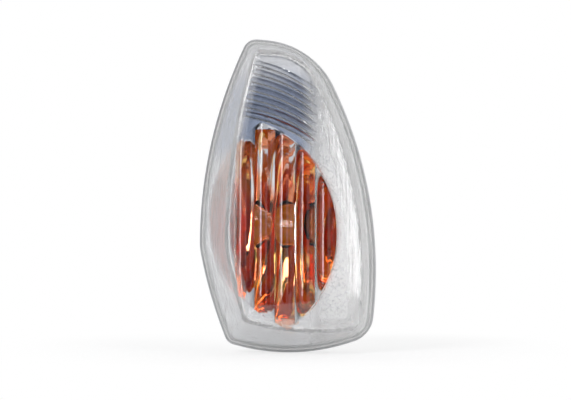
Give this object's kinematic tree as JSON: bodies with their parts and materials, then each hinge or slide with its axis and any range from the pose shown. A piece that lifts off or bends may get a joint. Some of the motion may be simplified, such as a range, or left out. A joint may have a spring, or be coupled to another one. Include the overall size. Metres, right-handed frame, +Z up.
{
  "type": "vehicle indicator lamp",
  "caption": "Wedge-domed clear indicator lamp for a door mirror, with fluted lens and reflector, amber wedge bulb and twist-in holder.",
  "frame": {"origin": "middle of the two screw bosses, on the plane of their end faces at the back of the housing", "axes": "+X across the lamp to the right as seen from the front, -Y towards the lens and the viewer, +Z up towards the pointed end"},
  "size_m": [0.0626, 0.0673, 0.1111],
  "materials": {
    "clear_lens": "clear polished polycarbonate, grained along the border",
    "metallised": "vacuum-metallised plastic",
    "housing_grey": "fine-grained moulding",
    "sealant": "dull bead",
    "vent_rubber": "soft moulding",
    "amber_glass": "amber-tinted glass",
    "tungsten": "fine wire",
    "bead_glass": "clear glass",
    "holder_black": "glass-filled moulding",
    "seal_rubber": "silicone ring",
    "contact_brass": "tinned strip"
  },
  "bodies": {
    "lamp": {"lens": "clear_lens", "lens_seal": "sealant", "reflector": "metallised", "housing": "housing_grey", "vent_cap": "vent_rubber"},
    "holder": {"bulb_holder": "holder_black", "holder_seal": "seal_rubber", "contact_left": "contact_brass", "contact_right": "contact_brass", "bulb_glass": "amber_glass", "bulb_filament": "tungsten", "bulb_bead": "bead_glass", "bulb_wire_left": "tungsten", "bulb_wire_right": "tungsten"}
  },
  "joints": [
    {"name": "holder_twist", "type": "hinge", "parent": "lamp", "child": "holder", "pos_m": [-0.0035, 0.004, -0.0105], "axis": [0, 1, 0], "range_deg": [0, 45]}
  ]
}
